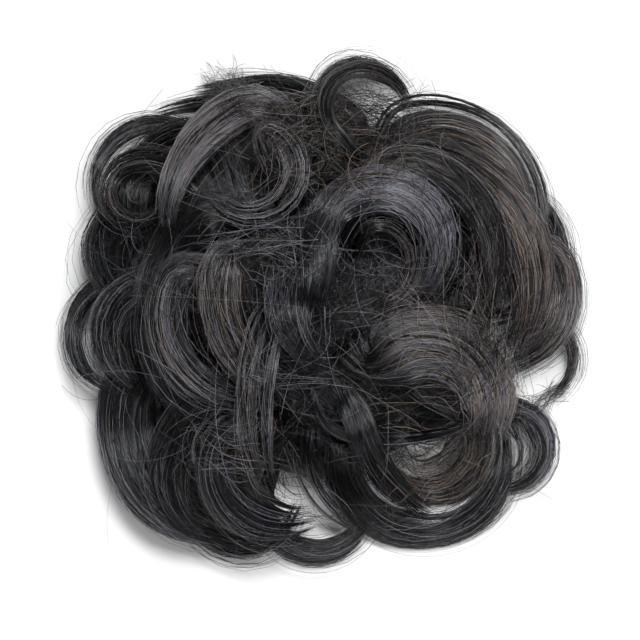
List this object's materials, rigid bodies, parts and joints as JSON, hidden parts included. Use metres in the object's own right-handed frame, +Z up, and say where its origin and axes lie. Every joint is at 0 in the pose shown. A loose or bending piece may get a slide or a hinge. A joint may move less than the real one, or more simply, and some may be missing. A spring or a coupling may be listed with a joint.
{
  "type": "top knot hairpiece",
  "caption": "Curly false hair bun: curled locks laid over a domed net cap with an elastic rim, open below for the wearer's own bun.",
  "frame": {"origin": "centre of the elastic rim in the plane that the hairpiece rests on", "axes": "+Z up out of the hair, away from the wearer's head; +Y towards the top of the picture, +X to its right"},
  "size_m": [0.157, 0.1535, 0.0498],
  "materials": {
    "hair": "smooth synthetic fibre with a soft sheen",
    "net": "matt knitted net",
    "elastic": "matt woven elastic"
  },
  "bodies": {
    "root": {"net_cap": "net", "elastic_rim": "elastic", "under_layer": "hair", "lock_side_loop_right": "hair", "lock_lower_right_loop": "hair", "lock_bottom_loop": "hair", "lock_lower_left_loop": "hair", "lock_lower_left_inner_sweep": "hair", "lock_lower_left_sweep": "hair", "lock_left_loop": "hair", "lock_left_bulge": "hair", "lock_upper_left_loop": "hair", "lock_top_left_tip": "hair", "lock_top_tuft": "hair", "lock_top_loop": "hair", "lock_right_shoulder": "hair", "lock_upper_right_sweep": "hair", "lock_right_flank": "hair", "lock_lower_ring": "hair", "lock_upper_left_fill": "hair", "lock_left_ring": "hair", "lock_left_inner_loop": "hair", "lock_left_fall": "hair", "lock_lower_left_fall": "hair", "lock_lower_left_ring": "hair", "lock_bottom_fill": "hair", "lock_bottom_strand": "hair", "lock_lower_inner_ring": "hair", "lock_upper_left_ring": "hair", "lock_upper_right_fill": "hair", "lock_right_fall": "hair", "lock_upper_left_fall": "hair", "lock_left_sweep": "hair", "lock_lower_strap": "hair", "lock_lower_dark_fall": "hair", "lock_right_inner_sweep": "hair", "lock_middle_left_fall": "hair", "lock_middle_fall": "hair", "lock_crown_left_fall": "hair", "lock_crown_tip": "hair", "lock_crown_inner_curl": "hair", "lock_barrel_curl": "hair", "lock_crown_ring": "hair"}
  },
  "joints": []
}
